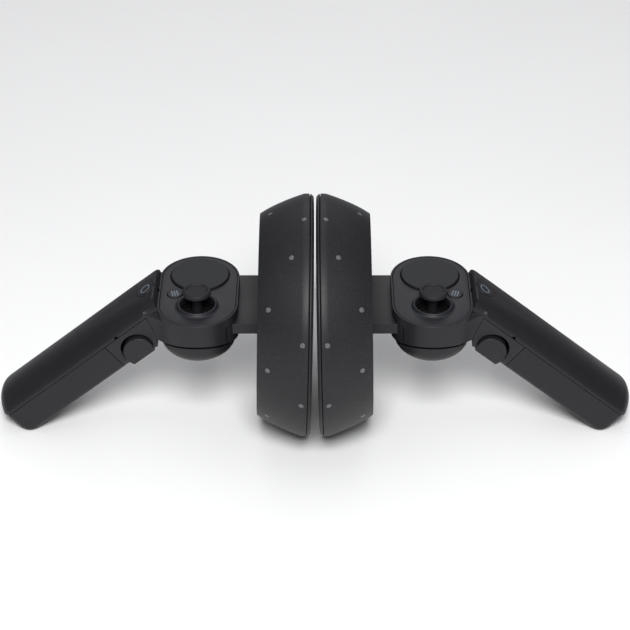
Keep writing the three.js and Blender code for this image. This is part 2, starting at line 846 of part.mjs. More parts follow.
function headGroup() {
  const group = new THREE.Group();
  group.position.set(headX, 0, faceZ);
  group.add(
    piece("face_plate", facePlate(), faceFinish),
    piece("touchpad", touchpad(), faceFinish, 0, padY, 0),
    piece("touch_sensor", touchSensor(), boardFinish, 0, padY, 0),
    piece("menu_button", menuButton(), faceFinish, menuX, menuY, 0),
    piece("stick_module", stickModule(), plasticFinish, 0, stickY, 0),
    piece("stick_carrier", stickCarrier(), plasticFinish, 0, stickY, -pivotDepth),
    piece("stick_gimbal", stickGimbal(), plasticFinish, 0, stickY, -pivotDepth),
    piece("stick_cap", stickCap(), rubberFinish, 0, stickY, -pivotDepth),
  );
  return group;
}

function ringGroup() {
  const group = new THREE.Group();
  group.applyMatrix4(ringFrame);
  group.add(
    piece("ring_outer_shell", ringOuterShell(), ringFinish),
    piece("ring_inner_shell", ringInnerShell().subtract(ringScrewHole()), ringFinish),
    piece("ring_trim", ringTrim(), ringFinish),
    piece("led_strip", ledStrip(), boardFinish),
  );
  return group;
}

// The ring screw comes down through the neck's foot into the inner shell.
function ringScrewHole() {
  const hole = rod("z", 1 + gap, -ringRadius - 5, 0, footX, 0, 12);
  return placed(hole, ringFrame.clone().invert());
}

function handleGroup() {
  const group = new THREE.Group();
  group.applyMatrix4(handleFrame);
  group.add(
    piece("battery_cover", batteryCover(), shellFinish),
    piece("grip_button", gripButton(), shellFinish),
    piece("battery_near", battery(), cellFinish, cellStart, -cellY, cellZ),
    piece("battery_far", battery(), cellFinish, cellStart, cellY, cellZ),
    piece("battery_tray", batteryTray(), plasticFinish),
    piece("battery_contact", batteryContact(), steelFinish),
    piece("main_board", mainBoard(), boardFinish),
    piece("vibration_motor", rod("y", 4.5, -2, 12, 77, -7, 16), steelFinish),
    piece("pairing_button", rod("z", 1.8, trayLow - 1.3, trayLow + 1.4, pairingX, 8, 12), plasticFinish),
  );
  return group;
}

function homeGroup() {
  const group = new THREE.Group();
  group.applyMatrix4(homeFrame);
  group.add(piece("home_button", homeButton(), shellFinish));
  return group;
}

function controller(side) {
  const group = new THREE.Group();
  const turnOver = new THREE.Matrix4().makeRotationX(Math.PI);
  const ringScrew = placed(screw(2, 1.4, 1, 4.6), turnOver);
  group.add(
    piece("upper_shell", upperShell(), shellFinish),
    piece("lower_shell", lowerShell(), shellFinish),
    piece("trigger", trigger(), shellFinish),
    piece("trigger_pin", triggerPin(), steelFinish),
    piece("trigger_spring", triggerSpring(), steelFinish),
    piece("neck_arm", neckArm(), shellFinish),
    piece("neck_screw", screw(1.8, 1.3, 0.9, 5.4), steelFinish, tongueScrewX, 0, neckTop - neckThick + 0.7),
    piece("ring_screw", ringScrew, steelFinish, footX, 0, footTop + gap),
    headGroup(),
    ringGroup(),
    handleGroup(),
    homeGroup(),
  );
  group.traverse((object) => {
    if (object.isMesh) object.name = side + "_" + object.name;
  });
  return group;
}

const left = controller("left");
const right = controller("right");
right.scale.x = -1;

const pair = new THREE.Group();
pair.add(left, right);
pair.position.z = -new THREE.Box3().setFromObject(pair, true).min.z;

export default pair;
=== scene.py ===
import math

import bpy
from mathutils import Matrix, Vector


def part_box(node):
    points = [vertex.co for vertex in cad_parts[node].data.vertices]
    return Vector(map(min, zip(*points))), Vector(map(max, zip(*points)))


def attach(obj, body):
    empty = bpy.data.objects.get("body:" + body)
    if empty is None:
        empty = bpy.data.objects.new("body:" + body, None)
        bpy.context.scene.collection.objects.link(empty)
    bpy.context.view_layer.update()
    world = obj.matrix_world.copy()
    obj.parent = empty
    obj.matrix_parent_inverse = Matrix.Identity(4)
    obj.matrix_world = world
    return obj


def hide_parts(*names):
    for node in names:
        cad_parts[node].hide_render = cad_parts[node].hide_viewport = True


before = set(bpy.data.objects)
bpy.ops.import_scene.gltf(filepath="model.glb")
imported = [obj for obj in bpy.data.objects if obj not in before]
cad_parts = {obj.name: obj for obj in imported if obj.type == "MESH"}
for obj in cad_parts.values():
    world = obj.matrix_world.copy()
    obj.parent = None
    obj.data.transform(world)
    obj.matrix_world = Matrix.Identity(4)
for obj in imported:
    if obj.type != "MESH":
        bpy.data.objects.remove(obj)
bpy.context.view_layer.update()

mm = 0.001

# Camera and lights

shot = {"distance": 0.920, "elevation": 34, "targetHeight": 0.0585, "lens": 108.7}
lights = {
    "topSize": 1.2, "topPower": 4, "topPlace": (0, 0.1, 1.3),
    "frontSize": 0.5, "frontPower": 25, "frontPlace": (0, -1.0, 1.16),
    "backSize": 0.9, "backPower": 3.5, "backPlace": (0, 1.15, 0.9),
    "skyColour": (0.9, 0.93, 1, 1), "skyPower": 0.13,
}


def addCamera():
    rise = math.radians(shot["elevation"])
    back = shot["distance"] * math.cos(rise)
    height = shot["targetHeight"] + shot["distance"] * math.sin(rise)
    bpy.ops.object.camera_add(location=(0, -back, height), rotation=(math.pi / 2 - rise, 0, 0))
    camera = bpy.context.object
    camera.data.lens = shot["lens"]
    bpy.context.scene.camera = camera


def addArea(name, size, power, place):
    bpy.ops.object.light_add(type="AREA", location=place)
    lamp = bpy.context.object
    lamp.name = name
    lamp.data.size = size
    lamp.data.energy = power
    aim = Vector((0, 0, 0.05)) - lamp.location
    lamp.rotation_euler = aim.to_track_quat("-Z", "Y").to_euler()


def addSky():
    sky = bpy.data.worlds.new("sky")
    sky.use_nodes = True
    backdrop = sky.node_tree.nodes["Background"]
    backdrop.inputs["Color"].default_value = lights["skyColour"]
    backdrop.inputs["Strength"].default_value = lights["skyPower"]
    bpy.context.scene.world = sky


addCamera()
for box in ("top", "front", "back"):
    addArea(box + "Softbox", lights[box + "Size"], lights[box + "Power"], lights[box + "Place"])
addSky()
bpy.context.scene.view_settings.view_transform = "Standard"
print("camera and lights ready")

# Shader sheets: a wrapped socket takes part in plain expressions


class Wire:
    def __init__(self, sheet, socket):
        self.sheet = sheet
        self.socket = socket

    def maths(self, operation, first, second):
        return self.sheet.add("ShaderNodeMath", {"operation": operation}, {0: first, 1: second})

    def __add__(self, other):
        return self.maths("ADD", self, other)

    __radd__ = __add__

    def __sub__(self, other):
        return self.maths("SUBTRACT", self, other)

    def __mul__(self, other):
        return self.maths("MULTIPLY", self, other)


class Sheet:
    def __init__(self, name):
        self.material = bpy.data.materials.new(name)
        self.material.use_nodes = True
        self.tree = self.material.node_tree
        self.shader = self.tree.nodes["Principled BSDF"]
        self.place = self.add("ShaderNodeTexCoord", {}, {}, "Object")

    def fill(self, socket, value):
        if isinstance(value, Wire):
            self.tree.links.new(value.socket, socket)
        else:
            socket.default_value = value

    def add(self, kind, settings, inputs, output=0):
        node = self.tree.nodes.new(kind)
        for key, value in settings.items():
            setattr(node, key, value)
        for key, value in inputs.items():
            self.fill(node.inputs[key], value)
        return Wire(self, node.outputs[output])

    def noise(self, perMetre, detail=2, stretch=None):
        place = self.place
        if stretch:
            place = self.add("ShaderNodeMapping", {}, {"Vector": place, "Scale": stretch})
        inputs = {"Vector": place, "Scale": perMetre, "Detail": detail}
        return self.add("ShaderNodeTexNoise", {}, inputs, "Fac")

    def step(self, value, low, high):
        return self.add("ShaderNodeMapRange", {"interpolation_type": "SMOOTHSTEP"},
                        {"Value": value, "From Min": low, "From Max": high}, "Result")

    def mix(self, share, first, second):
        settings = {"data_type": "RGBA"}
        return self.add("ShaderNodeMix", settings, {0: share, 6: first, 7: second}, 2)

    def bump(self, height, depth):
        inputs = {"Strength": 1.0, "Distance": depth * mm, "Height": height}
        return self.add("ShaderNodeBump", {}, inputs)

    def finish(self, **sockets):
        for key, value in sockets.items():
            self.fill(self.shader.inputs[key.replace("_", " ")], value)
        return self.material


def grey(level, blue=1.0):
    return (level, level, level * blue, 1)


def mouldedPlastic(name, look):
    sheet = Sheet(name)
    grain = sheet.noise(look["grain"], 3)
    mottle = sheet.noise(55, 4)
    rubbed = sheet.step(sheet.noise(23, 3), 0.48, 0.75)
    hairlines = sheet.step(sheet.noise(420, 2, (1, 9, 3)), 0.66, 0.72)
    speck = sheet.step(sheet.noise(look["speck"], 1), 0.68, 0.78)
    tone = sheet.mix(mottle, look["dark"], look["light"])
    tone = sheet.mix(speck * look["sparkle"], tone, grey(0.16, 1.05))
    shine = look["rough"] + grain * 0.08 - rubbed * 0.05 - hairlines * 0.05 - speck * 0.1
    bump = sheet.bump(grain + speck * 0.5, look["depth"])
    return sheet.finish(Base_Color=tone, Roughness=shine, Normal=bump, Specular_IOR_Level=0.36)


shellSkin = mouldedPlastic("satinShell", {
    "dark": (0.0083, 0.0079, 0.0096, 1), "light": (0.0118, 0.0111, 0.0134, 1),
    "rough": 0.44, "grain": 2600, "speck": 5200, "sparkle": 0.1, "depth": 0.012,
})
faceSkin = mouldedPlastic("satinFace", {
    "dark": (0.0103, 0.0106, 0.0143, 1), "light": (0.0131, 0.0136, 0.0177, 1),
    "rough": 0.46, "grain": 3200, "speck": 6000, "sparkle": 0.06, "depth": 0.008,
})
padSkin = mouldedPlastic("touchFilm", {
    "dark": (0.0067, 0.0073, 0.0083, 1), "light": (0.0086, 0.0092, 0.0103, 1),
    "rough": 0.52, "grain": 5200, "speck": 8000, "sparkle": 0.02, "depth": 0.004,
})
ringSkin = mouldedPlastic("grainedRing", {
    "dark": (0.0075, 0.0075, 0.0091, 1), "light": (0.0107, 0.0106, 0.0125, 1),
    "rough": 0.5, "grain": 2100, "speck": 2600, "sparkle": 0.5, "depth": 0.03,
})
innerSkin = mouldedPlastic("innerPlastic", {
    "dark": (0.0040, 0.0040, 0.0045, 1), "light": (0.0063, 0.0063, 0.0070, 1),
    "rough": 0.5, "grain": 1500, "speck": 3000, "sparkle": 0.03, "depth": 0.02,
})
rubberSkin = mouldedPlastic("softTouchRubber", {
    "dark": (0.0063, 0.0063, 0.0080, 1), "light": (0.0085, 0.0084, 0.0105, 1),
    "rough": 0.6, "grain": 4200, "speck": 7000, "sparkle": 0.03, "depth": 0.015,
})


def lampGlass():
    sheet = Sheet("lampWindow")
    cloud = sheet.noise(900, 2)
    tone = sheet.mix(cloud, grey(0.085, 1.05), grey(0.12, 1.05))
    return sheet.finish(Base_Color=tone, Roughness=0.3 + cloud * 0.1, Normal=sheet.bump(cloud, 0.01))


def printedMark():
    sheet = Sheet("printedMark")
    worn = sheet.noise(1400, 3)
    tone = sheet.mix(worn, (0.10, 0.13, 0.17, 1), (0.15, 0.18, 0.22, 1))
    return sheet.finish(Base_Color=tone, Roughness=0.4 + worn * 0.15, Normal=sheet.bump(worn, 0.004))


def brushedSteel():
    sheet = Sheet("plainSteel")
    lines = sheet.noise(900, 3, (1, 14, 1))
    tone = sheet.mix(lines, grey(0.42, 1.03), grey(0.6, 1.03))
    return sheet.finish(Base_Color=tone, Metallic=1.0, Roughness=0.25 + lines * 0.15,
                        Normal=sheet.bump(lines, 0.01))


def solderMask():
    sheet = Sheet("circuitBoard")
    tracks = sheet.add("ShaderNodeTexBrick", {"offset": 0.3, "squash": 1.0},
                       {"Vector": sheet.place, "Scale": 260, "Mortar Size": 0.05}, "Fac")
    cloud = sheet.noise(300, 2)
    tone = sheet.mix(tracks, (0.008, 0.075, 0.035, 1), (0.02, 0.16, 0.08, 1))
    return sheet.finish(Base_Color=tone, Roughness=0.3 + cloud * 0.1, Normal=sheet.bump(tracks, 0.03))


def cellJacket():
    sheet = Sheet("cellJacket")
    wrap = sheet.noise(500, 2, (1, 6, 1))
    tone = sheet.mix(wrap, (0.02, 0.05, 0.13, 1), (0.035, 0.08, 0.19, 1))
    return sheet.finish(Base_Color=tone, Roughness=0.28 + wrap * 0.12, Normal=sheet.bump(wrap, 0.01))


def paleFloor():
    sheet = Sheet("paleFloor")
    cloud = sheet.noise(6, 2)
    tone = sheet.mix(cloud, grey(0.86), grey(0.9))
    return sheet.finish(Base_Color=tone, Roughness=0.8 + cloud * 0.1)


lampSkin = lampGlass()
markSkin = printedMark()
steelSkin = brushedSteel()
boardSkin = solderMask()
cellSkin = cellJacket()

bpy.ops.mesh.primitive_plane_add(size=8)
floor = bpy.context.object
floor.name = "floor"
floor.data.materials.append(paleFloor())
print("materials ready")

# Modelling in code


def only(piece):
    bpy.ops.object.select_all(action="DESELECT")
    piece.select_set(True)
    bpy.context.view_layer.objects.active = piece


def editAll(piece):
    only(piece)
    bpy.ops.object.mode_set(mode="EDIT")
    bpy.ops.mesh.select_all(action="SELECT")


def facesOut(piece):
    editAll(piece)
    bpy.ops.mesh.remove_doubles(threshold=0.0005 * mm)
    bpy.ops.mesh.delete_loose()
    bpy.ops.mesh.select_all(action="SELECT")
    bpy.ops.mesh.normals_make_consistent(inside=False)
    bpy.ops.object.mode_set(mode="OBJECT")


def settle(piece, place):
    only(piece)
    piece.matrix_world = place
    bpy.ops.object.transform_apply(location=True, rotation=True, scale=True)
    return piece


def at(x=0, y=0, z=0):
    return Matrix.Translation((x * mm, y * mm, z * mm))


def turn(degrees, axis):
    return Matrix.Rotation(math.radians(degrees), 4, axis)


def ringOf(points, fill="NGON"):
    bpy.ops.object.select_all(action="DESELECT")
    bpy.ops.mesh.primitive_circle_add(vertices=len(points), radius=mm, fill_type=fill)
    piece = bpy.context.object
    for vertex, point in zip(piece.data.vertices, points):
        vertex.co = Vector(point) * mm
    return piece


# A solid through a row of outlines, each with as many points as the first.
def lofted(rings, place=Matrix()):
    piece = ringOf(rings[0])
    count = len(rings[0])
    last = list(range(count))
    for ring in rings[1:]:
        known = {tuple(round(c, 7) for c in piece.data.vertices[i].co): k for k, i in enumerate(last)}
        start = len(piece.data.vertices)
        only(piece)
        bpy.ops.object.mode_set(mode="EDIT")
        bpy.ops.mesh.extrude_region_move()
        bpy.ops.object.mode_set(mode="OBJECT")
        last = [0] * count
        for vertex in piece.data.vertices[start:]:
            k = known[tuple(round(c, 7) for c in vertex.co)]
            last[k] = vertex.index
            vertex.co = Vector(ring[k]) * mm
    facesOut(piece)
    return settle(piece, place)


# An outline in two axes, raised along the third.
def prism(outline, low, high, place=Matrix(), axis="z"):
    corner = {
        "x": lambda u, v, w: (w, u, v),
        "y": lambda u, v, w: (u, w, v),
        "z": lambda u, v, w: (u, v, w),
    }[axis]
    return lofted([[corner(u, v, w) for u, v in outline] for w in (low, high)], place)


# A turned solid about Z from a closed profile of radius and height.
def turned(profile, place=Matrix(), steps=96):
    piece = ringOf([(radius, 0, height) for radius, height in profile], "NOTHING")
    editAll(piece)
    bpy.ops.mesh.spin(steps=steps, angle=2 * math.pi, center=(0, 0, 0), axis=(0, 0, 1))
    bpy.ops.object.mode_set(mode="OBJECT")
    facesOut(piece)
    return settle(piece, place)


def block(x, y, z, place=Matrix()):
    outline = [(x[0], y[0]), (x[1], y[0]), (x[1], y[1]), (x[0], y[1])]
    return prism(outline, z[0], z[1], place)


def rod(radius, low, high, place, steps=48):
    outline = [(radius * math.cos(2 * math.pi * k / steps), radius * math.sin(2 * math.pi * k / steps))
               for k in range(steps)]
    return prism(outline, low, high, place)


def combine(piece, tool, operation):
    only(piece)
    cut = piece.modifiers.new("combine", "BOOLEAN")
    cut.operation = operation
    cut.object = tool
    cut.solver = "EXACT"
    bpy.ops.object.modifier_apply(modifier="combine")
    bpy.data.objects.remove(tool)
    return piece


def carve(piece, *tools):
    for tool in tools:
        combine(piece, tool, "DIFFERENCE")
    return piece


def weld(piece, *tools):
    for tool in tools:
        combine(piece, tool, "UNION")
    return piece


def common(piece, *tools):
    for tool in tools:
        combine(piece, tool, "INTERSECT")
    return piece


def soften(piece, width, segments=3, angle=50):
    only(piece)
    edge = piece.modifiers.new("edge", "BEVEL")
    edge.width = width * mm
    edge.segments = segments
    edge.limit_method = "ANGLE"
    edge.angle_limit = math.radians(angle)
    bpy.ops.object.modifier_apply(modifier="edge")
    return piece


def bend(start, pull, end, steps):
    curve = []
    for k in range(steps + 1):
        t = k / steps
        curve.append(tuple((1 - t) ** 2 * a + 2 * t * (1 - t) * b + t * t * c
                           for a, b, c in zip(start, pull, end)))
    return curve


def arc(centre, radius, start, end, steps):
    angles = [math.radians(start + (end - start) * k / steps) for k in range(steps + 1)]
    return [(centre[0] + radius * math.cos(a), centre[1] + radius * math.sin(a)) for a in angles]


# Rounds the corners of a closed outline.
def eased(points, radius, steps=4):
    out = []
    for index, here in enumerate(points):
        here = Vector(here)
        into = here - Vector(points[index - 1])
        away = Vector(points[(index + 1) % len(points)]) - here
        bent = into.angle(away)
        onAxis = abs(here.x) < 1e-6
        if bent < math.radians(20) or onAxis:
            out.append(tuple(here))
            continue
        reach = min(radius * math.tan(bent / 2), 0.45 * into.length, 0.45 * away.length)
        out += bend(here - into.normalized() * reach, here, here + away.normalized() * reach, steps)
    return out


# Shared places, in the left controller's own frame

headSize = {"middle": -55.75, "face": 14.1, "width": 36.1, "length": 59.9, "plate": 2, "wall": 0.9,
            "gap": 0.3, "deck": 1.2, "edgeLow": -3.2, "edgeHigh": 2.4, "foot": -20, "open": -30}
padSize = {"radius": 14, "y": 13.4, "proud": 1, "low": -1.6, "foot": -3.2, "hole": 14.4}
stickSize = {"y": -13.5, "hole": 8.15, "lip": 1.5, "pivot": 7, "capRadius": 6.75, "capTop": 9.1,
             "capThick": 2.4, "shaft": 2.3, "hub": 3.3}
ringSize = {"radius": 58.6, "small": 48.6, "width": 25.6, "band": 5.2, "wall": 1.5, "trim": 1.7,
            "trimDepth": 3.1, "lean": 1.3, "turn": 0.3, "apart": 0.6, "gap": 0.3}
handleSize = {"tilt": 39.5, "x": -152.5, "z": -50.4, "half": 16.5, "depth": 15.2, "crown": 7.7,
              "shoulder": 2.6, "wall": 1.6, "round": 3, "tailRound": 5, "tailStep": 2.5, "run": 114,
              "seam": 67.1, "gap": 0.3, "crestX": -76.2, "crestZ": 18.2, "rimX": -74.9, "rimZ": 13.9,
              "flatEnd": 3.6}
homeSize = {"x": -81.3, "z": 14.8, "tilt": 36, "radius": 4.75, "foot": -2.2, "proud": 0.3,
            "markIn": 2.15, "markOut": 2.75, "markSunk": 0.2, "markProud": 0.06}

ringLow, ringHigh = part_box("left_ring_outer_shell")
axisHeight = (ringLow.z + ringHigh.z) / 2
ground = Matrix.Translation((0, 0, axisHeight))
faceFrame = ground @ at(headSize["middle"], 0, headSize["face"])
handleFrame = ground @ at(handleSize["x"], 0, handleSize["z"]) @ turn(-handleSize["tilt"], "Y")
homeFrame = ground @ at(homeSize["x"], 0, homeSize["z"]) @ turn(-homeSize["tilt"], "Y")
reach = ringSize["radius"] * math.hypot(math.tan(math.radians(ringSize["lean"])),
                                        math.tan(math.radians(ringSize["turn"])))
ringFrame = (ground @ at(-(ringSize["apart"] / 2 + reach)) @ turn(ringSize["lean"], "Y")
             @ turn(ringSize["turn"], "Z"))
sweep = ringFrame @ turn(90, "Y")


# A finished piece on the left, and its mirror image on the right.
def bothSides(piece, name, skin, body, replaced=(), angle=35):
    piece.data.materials.clear()
    piece.data.materials.append(skin)
    only(piece)
    bpy.ops.object.shade_smooth_by_angle(angle=math.radians(angle))
    piece.name = "left_" + name
    bpy.ops.object.duplicate()
    twin = bpy.context.object
    twin.name = "right_" + name
    twin.scale.x = -1
    bpy.ops.object.transform_apply(location=False, rotation=False, scale=True)
    editAll(twin)
    bpy.ops.mesh.normals_make_consistent(inside=False)
    bpy.ops.object.mode_set(mode="OBJECT")
    for side, made in (("left_", piece), ("right_", twin)):
        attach(made, side + body)
        if replaced:
            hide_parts(*(side + node for node in replaced))


# Tracking ring

bandSteps = 28
crestStart = ringSize["width"] - ringSize["trim"] - 2.9
shellEnd = ringSize["width"] - ringSize["trim"] - ringSize["gap"]


def bandLine(inset, steps, start=0):
    rise = ringSize["radius"] - ringSize["small"]
    line = bend((0, ringSize["small"]), (crestStart * 0.35, ringSize["small"] + rise * 0.52),
                (crestStart, ringSize["radius"] - 0.1), steps)
    line.append((shellEnd, ringSize["radius"]))
    return [(along, radius - inset) for along, radius in line if along >= start]


def ringPiece(profile, soft, steps=160):
    around = [(radius, along - ringSize["width"]) for along, radius in eased(profile, soft)]
    return turned(around, sweep, steps)


def outerShell():
    size = ringSize
    taper = size["wall"] * (size["radius"] - size["small"]) / size["width"]
    flange = size["small"] - size["band"] + size["wall"] + taper + size["gap"]
    inside = bandLine(size["wall"], 8, size["wall"])[::-1]
    return ringPiece([(0, flange)] + bandLine(0, bandSteps) + inside
                     + [(size["wall"], size["small"] - 0.4), (size["wall"], flange)], 0.45)


def innerShell():
    size = ringSize
    narrow = size["small"] - size["band"]
    wide = size["radius"] - size["band"]
    flange = size["radius"] - size["trimDepth"] - size["gap"]
    back = size["width"] - size["wall"]
    return ringPiece([(0, narrow), (0, narrow + size["wall"]), (back, wide + size["wall"] - 0.3),
                      (back, flange), (size["width"], flange), (size["width"], wide)], 0.4)


def ringTrim():
    start = ringSize["width"] - ringSize["trim"]
    low = ringSize["radius"] - ringSize["trimDepth"]
    high = ringSize["radius"] - 0.3
    return ringPiece([(start, low), (start, high), (start + 0.7, high - 0.05),
                      (ringSize["width"], high - 1.1), (ringSize["width"], low)], 0.5)


bothSides(outerShell(), "ring_band", ringSkin, "body", ["ring_outer_shell"])
bothSides(innerShell(), "ring_lining", ringSkin, "body", ["ring_inner_shell"])
bothSides(ringTrim(), "ring_edge", ringSkin, "body", ["ring_trim"])

# Degrees up from the near side, and which of the three rows each window sits in.
lampSize = {"radius": 1.2, "near": 5, "middle": 15.2, "far": 20.8, "proud": 0.07,
            "seen": [(100.5, "near"), (83.2, "far"), (61.5, "middle"), (36.1, "near"), (20, "far"),
                     (3.8, "near"), (-12.3, "far"), (-35, "near")],
            "start": -56, "step": -17.6, "more": 11}


def bandAt(along):
    line = bandLine(0, bandSteps)
    after = next(k for k, p in enumerate(line) if p[0] > along)
    (a, low), (b, high) = line[after - 1], line[after]
    slope = (high - low) / (b - a)
    return low + slope * (along - a), math.degrees(math.atan(slope))


def lampWindows():
    size = lampSize
    rest = [(size["start"] + size["step"] * k, "near" if k % 2 else "far") for k in range(size["more"])]
    windows = []
    for angle, row in size["seen"] + rest:
        radius, slope = bandAt(size[row])
        place = (ringFrame @ at(size[row] - ringSize["width"]) @ turn(90 - angle, "X")
                 @ at(0, 0, radius) @ turn(-slope, "Y"))
        r = size["radius"]
        lens = [(0, -0.5), (r, -0.5), (r, 0), (r - 0.2, size["proud"] * 0.8), (0, size["proud"])]
        windows.append(turned(eased(lens, 0.1, 2), place, 28))
    bpy.ops.object.select_all(action="DESELECT")
    for window in windows:
        window.select_set(True)
    bpy.context.view_layer.objects.active = windows[0]
    bpy.ops.object.join()
    return bpy.context.object


bothSides(lampWindows(), "lamp_windows", lampSkin, "body")
print("rings ready")

# Head: face plate, touchpad, stick and buttons

menuSize = {"x": -11.3, "y": -3.1, "radius": 3.5, "proud": 0.4, "hole": 3.8, "foot": -3.2,
            "bar": 4.4, "barWide": 0.5, "barStep": 1.25, "slant": 104}


def stadium(width, length, steps=40, x=0):
    r = width / 2
    straight = length / 2 - r
    return (arc((x, straight), r, 0, 180, steps) + arc((x, -straight), r, 180, 360, steps))


def facePlate():
    plate = prism(stadium(headSize["width"], headSize["length"]), -headSize["plate"], 0, faceFrame)
    low, high = -headSize["plate"] - 1, 2
    carve(plate, rod(padSize["hole"], low, high, faceFrame @ at(0, padSize["y"]), 96),
          rod(stickSize["hole"] + 1, low, high, faceFrame @ at(0, stickSize["y"]), 72),
          rod(menuSize["hole"], low, high, faceFrame @ at(menuSize["x"], menuSize["y"]), 40))
    return soften(plate, 0.3, 3)


def stickLip():
    hole, top = stickSize["hole"], stickSize["lip"]
    outside = bend((hole + 3.2, -0.03), (hole + 1.8, 0.02), (hole + 1.45, 0.75), 10)
    crest = bend((hole + 1.45, 0.75), (hole + 1.2, top), (hole + 0.75, top), 8)[1:]
    inside = bend((hole + 0.75, top), (hole + 0.1, top), (hole, 0.4), 8)[1:]
    foot = [(hole, -headSize["plate"]), (hole + 3.2, -headSize["plate"])]
    return turned(outside + crest + inside + foot, faceFrame @ at(0, stickSize["y"]), 96)


def touchDisc():
    r, top = padSize["radius"], padSize["proud"]
    profile = [(0, padSize["foot"]), (r - 3, padSize["foot"]), (r - 3, padSize["low"]),
               (r, padSize["low"]), (r, top), (r - 1.5, top), (0, top - 0.12)]
    return turned(eased(profile, 0.55, 5), faceFrame @ at(0, padSize["y"]), 128)


def discButton(radius, foot, proud, place, steps=64):
    profile = [(0, foot), (radius, foot), (radius, proud), (0, proud)]
    return turned(eased(profile, 0.35, 4), place, steps)


def menuBars():
    bars = []
    for k in (-1, 0, 1):
        half, wide = menuSize["bar"] / 2, menuSize["barWide"] / 2
        outline = (arc((half - wide, 0), wide, -90, 90, 6) + arc((wide - half, 0), wide, 90, 270, 6))
        place = (faceFrame @ at(menuSize["x"], menuSize["y"]) @ turn(menuSize["slant"], "Z")
                 @ at(0, k * menuSize["barStep"], menuSize["proud"]))
        bars.append(prism(outline, -0.1, 0.03, place))
    return weld(*bars)


def stickPost():
    s = stickSize
    top = s["capTop"] + s["pivot"]
    r, shaft = s["capRadius"], s["shaft"]
    under = bend((shaft, top - s["capThick"] - 3.4), (shaft + 0.2, top - s["capThick"] - 0.9),
                 (r - 0.7, top - s["capThick"] + 0.1), 10)
    rim = [(r, top - s["capThick"] + 0.5)] + bend((r, top - 1.2), (r, top), (r - 1.0, top), 6)
    groove = bend((r - 1.5, top), (r - 1.8, top - 0.55), (r - 2.3, top - 0.5), 5)
    dish = [(r - 4.2, top - 0.62), (0, top - 0.7)]
    ball = [(0, -s["hub"])] + arc((0, 0), s["hub"], -75, 42, 12)
    return turned(ball + under + rim + groove + dish, stickFrame, 72)


stickFrame = faceFrame @ at(0, stickSize["y"], -stickSize["pivot"])
bothSides(facePlate(), "face", faceSkin, "body", ["face_plate"])
bothSides(stickLip(), "stick_lip", faceSkin, "body")
bothSides(touchDisc(), "touch_disc", padSkin, "pad", ["touchpad"])
menuPlace = faceFrame @ at(menuSize["x"], menuSize["y"])
bothSides(discButton(menuSize["radius"], menuSize["foot"], menuSize["proud"], menuPlace),
          "menu_disc", faceSkin, "menu", ["menu_button"])
bothSides(menuBars(), "menu_bars", markSkin, "menu")
bothSides(stickPost(), "stick", rubberSkin, "stick", ["stick_cap"])
bothSides(discButton(homeSize["radius"], homeSize["foot"], homeSize["proud"], homeFrame),
          "home_disc", shellSkin, "home", ["home_button"])


def homeMark():
    size = homeSize
    low, high = size["proud"] - size["markSunk"], size["proud"] + size["markProud"]
    profile = [(size["markIn"], low), (size["markOut"], low), (size["markOut"], high), (size["markIn"], high)]
    return turned(eased(profile, 0.08, 3), homeFrame, 64)


bothSides(homeMark(), "home_ring", markSkin, "home")
print("face and buttons ready")

# Shells: the handle's crown with the head's wall, the front grip panel, the battery cover

# How far the tools that cut the shells reach past them, and the slanting seam behind the head.
cutSize = {"side": 33, "under": 31, "past": 5, "far": 60}
seamSize = {"topX": -79.2, "topZ": 8.6, "lowX": -74.6, "lowZ": -1.7, "startZ": 19, "footZ": -30}


def widthAt(x, inset):
    half, r = handleSize["half"] - inset, handleSize["tailRound"]
    along = max(x - inset, 0)
    return half if along >= r else half - r + math.sqrt(r * r - (r - along) ** 2)


def crownAt(x, inset):
    span = 5.5
    along = min(max(x - inset, 0) / span, 1)
    return 0.5 + 0.5 * math.sqrt(1 - (1 - along) ** 2)


def crownLine(x, inset):
    half = widthAt(x, inset)
    lift = crownAt(x, inset)
    top = (handleSize["crown"] - inset) * lift
    edge = (handleSize["shoulder"] - inset * 0.6) * lift
    start, pull, end = (half - 1.2, edge), (half * 0.55, top), (0, top)
    crown = bend(start, pull, end, 16)[2:]
    slope = (crown[1][1] - crown[0][1]) / (crown[0][0] - crown[1][0])
    corner = (half, crown[0][1] - slope * (half - crown[0][0]))
    side = [(half, 0)] + bend((half, min(0.6, corner[1] * 0.5)), corner, crown[0], 6)[:-1]
    right = side + crown
    return right + [(-y, z) for y, z in right[-2::-1]]


def bellyLine(x, inset, top):
    half = widthAt(x, inset)
    low, r = -handleSize["depth"] + inset, handleSize["tailRound"] - inset
    along = x - handleSize["tailStep"] - inset
    if along < r:
        low += r - math.sqrt(max(r * r - (r - max(along, 0)) ** 2, 0))
    soft = max(min(handleSize["round"] - inset, top - low - 0.3), 0.5)
    return ([(-half, top)] + arc((soft - half, low + soft), soft, 180, 270, 8)
            + arc((half - soft, low + soft), soft, 270, 360, 8) + [(half, top)])


def tailSteps(start, radius, end):
    quarter = [start + radius * (1 - math.cos(math.radians(90 * k / 9))) for k in range(10)]
    return quarter + [start + radius + 6, end]


def wholeHandle(inset):
    rings = []
    for x in tailSteps(inset, handleSize["tailRound"], handleSize["run"]):
        half = widthAt(x, inset)
        low, soft = -handleSize["depth"] + inset, max(handleSize["round"] - inset, 1)
        belly = (arc((soft - half, low + soft), soft, 180, 270, 8)
                 + arc((half - soft, low + soft), soft, 270, 360, 8))
        rings.append([(x, y, z) for y, z in crownLine(x, inset) + belly])
    return lofted(rings, handleFrame)


def bellyPart(inset, start, end):
    if start < 20:
        stations = tailSteps(start, handleSize["tailRound"] - inset, end)
    else:
        stations = [start, end]
    top = -handleSize["gap"] / 2 if not inset else 3
    return lofted([[(x, y, z) for y, z in bellyLine(x, inset, top)] for x in stations], handleFrame)


